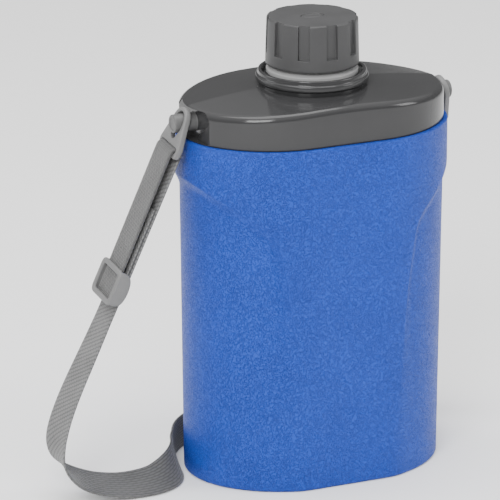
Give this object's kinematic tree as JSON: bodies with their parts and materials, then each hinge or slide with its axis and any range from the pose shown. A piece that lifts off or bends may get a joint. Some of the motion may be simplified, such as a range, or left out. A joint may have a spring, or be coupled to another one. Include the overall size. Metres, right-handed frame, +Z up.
{
  "type": "insulated water jug",
  "caption": "Large insulated water jug with a flattened round body, arched end recesses, ridged shoulder cover, screw cap and an adjustable carrying strap on two side studs.",
  "frame": {"origin": "centre of the jug's underside, on the surface it stands on", "axes": "+Z up along the neck, X along the wide way of the body, -Y the front"},
  "size_m": [0.3213, 0.1605, 0.334],
  "materials": {
    "body_plastic": "fine leather-grain moulded polyethylene",
    "cover_plastic": "smooth glossy dark grey",
    "cap_plastic": "matte dark grey",
    "hardware_plastic": "satin mid grey",
    "band_plastic": "satin light grey",
    "liner_plastic": "food-grade off-white",
    "foam": "poured insulation foam",
    "seal_rubber": "soft black rubber",
    "webbing": "twill-woven polypropylene webbing"
  },
  "bodies": {
    "jug": {"outer_shell": "body_plastic", "fill_plug": "body_plastic", "insulation_foam": "foam", "inner_liner": "liner_plastic", "shoulder_cover": "cover_plastic", "cover_seal": "seal_rubber", "neck_collar": "cover_plastic", "neck_band": "band_plastic", "strap_stud_left": "hardware_plastic", "strap_stud_right": "hardware_plastic", "stud_nut_left": "hardware_plastic", "stud_nut_right": "hardware_plastic"},
    "cap_seal": {"cap_gasket": "seal_rubber"},
    "cap": {"cap_shell": "cap_plastic", "cap_badge": "cap_plastic", "cap_core": "liner_plastic", "cap_foam": "foam"},
    "strap": {"strap_webbing": "webbing", "strap_return": "webbing", "strap_sewn_end": "webbing", "strap_ring_left": "hardware_plastic", "strap_ring_right": "hardware_plastic"},
    "slider": {"slider_buckle": "hardware_plastic", "strap_tail": "webbing"}
  },
  "joints": [
    {"name": "cap_rise", "type": "slide", "parent": "jug", "child": "cap_seal", "axis": [0, 0, 1], "range_m": [0, 0.0071]},
    {"name": "cap_turn", "type": "hinge", "parent": "cap_seal", "child": "cap", "pos_m": [0, 0, 0.31], "axis": [0, 0, 1], "range_deg": [0, 630]},
    {"name": "strap_swing", "type": "hinge", "parent": "jug", "child": "strap", "pos_m": [0, 0, 0.2668], "axis": [1, 0, 0], "range_deg": [0, 165]},
    {"name": "slider_slide", "type": "slide", "parent": "strap", "child": "slider", "axis": [-0.3812, 0.0872, -0.9204], "range_m": [-0.03, 0], "deforming": ["strap_return"]}
  ],
  "couplings": [
    {"joint": "cap_rise", "follows": "cap_turn", "m_per_rad": 0.00063662}
  ]
}
